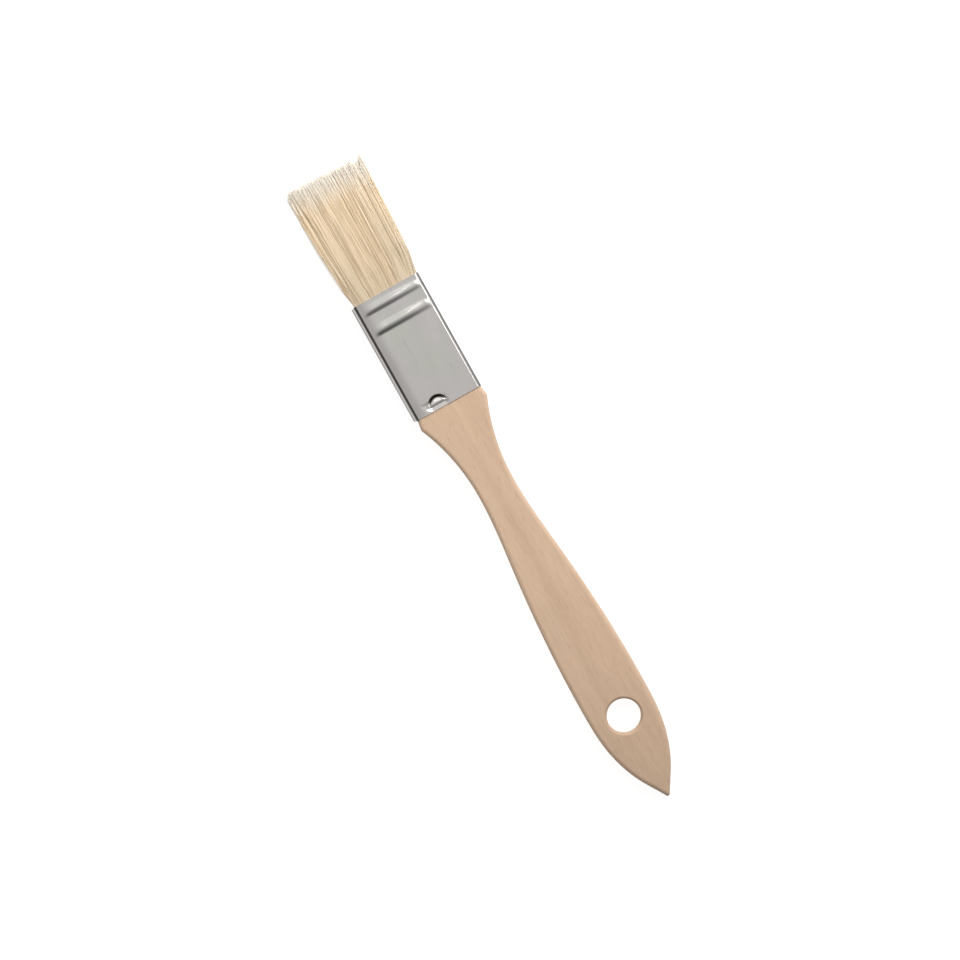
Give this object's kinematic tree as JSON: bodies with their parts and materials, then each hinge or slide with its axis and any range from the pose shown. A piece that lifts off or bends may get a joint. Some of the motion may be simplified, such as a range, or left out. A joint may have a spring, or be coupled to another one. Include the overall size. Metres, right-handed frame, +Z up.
{
  "type": "flat paint brush",
  "caption": "Flat 25 mm paint brush: natural bristles in a folded, beaded steel ferrule on a bare beech handle with a hanging hole. The bristles flex on a sprung hinge.",
  "frame": {"origin": "under the middle of the whole brush, on the surface that it lies on, back face down", "axes": "+Y along the brush towards the bristle ends, +Z up out of the front face, +X across the brush, to the right when the bristles point away"},
  "size_m": [0.0286, 0.244, 0.0089],
  "materials": {
    "beech": "matte",
    "tinned_steel": "satin",
    "spacer_wood": "matte",
    "resin": "gloss",
    "bristle": "satin"
  },
  "bodies": {
    "handle_and_ferrule": {"handle": "beech", "ferrule": "tinned_steel", "spacer_plug": "spacer_wood", "resin_setting": "resin", "front_bristle_roots": "bristle", "back_bristle_roots": "bristle"},
    "free_bristles": {"bristle_tuft": "bristle"}
  },
  "joints": [
    {"name": "bristle_flex", "type": "hinge", "parent": "handle_and_ferrule", "child": "free_bristles", "pos_m": [0, 0.0846, 0.00445], "axis": [1, 0, 0], "range_deg": [-35, 35], "stiffness_Nm_per_rad": 0.06}
  ]
}
